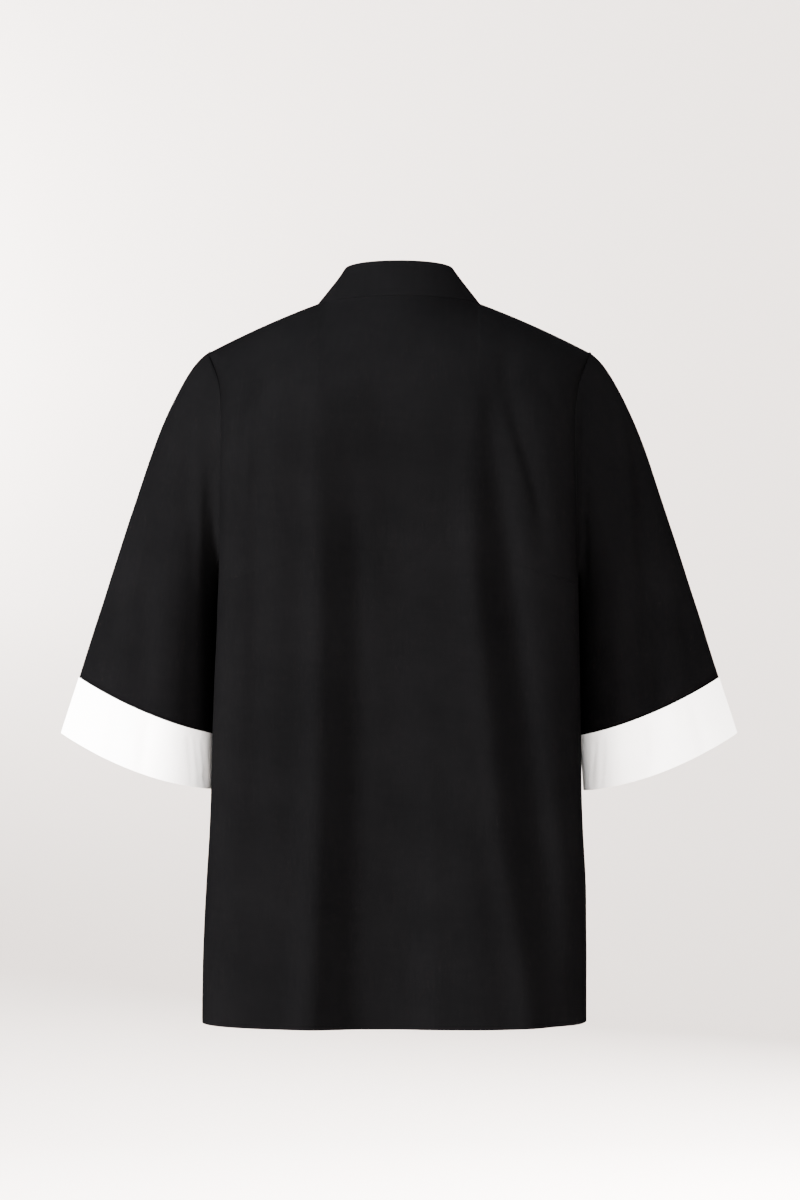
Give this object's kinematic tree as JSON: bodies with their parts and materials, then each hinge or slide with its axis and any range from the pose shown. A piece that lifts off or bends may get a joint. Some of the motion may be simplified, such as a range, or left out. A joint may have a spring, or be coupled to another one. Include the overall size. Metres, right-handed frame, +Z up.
{
  "type": "kimono jacket",
  "caption": "Hip-length kimono jacket with an open front, stand-up neckband and wide three-quarter sleeves ending in pale cuff bands, hollow as worn.",
  "frame": {"origin": "base of the neck, over the middle of the shoulder line, where the wearer's shoulders hold the jacket", "axes": "+Z up, the front faces -Y, the wearer's left side is +X"},
  "size_m": [0.7118, 0.2607, 0.8005],
  "materials": {
    "black_cotton": "matt plain-weave cotton",
    "white_cotton": "matt plain-weave cotton, folded double"
  },
  "bodies": {
    "root": {"back": "black_cotton", "front_left": "black_cotton", "front_right": "black_cotton", "sleeve_left": "black_cotton", "sleeve_right": "black_cotton", "cuff_left": "white_cotton", "cuff_right": "white_cotton", "neckband": "black_cotton"}
  },
  "joints": []
}
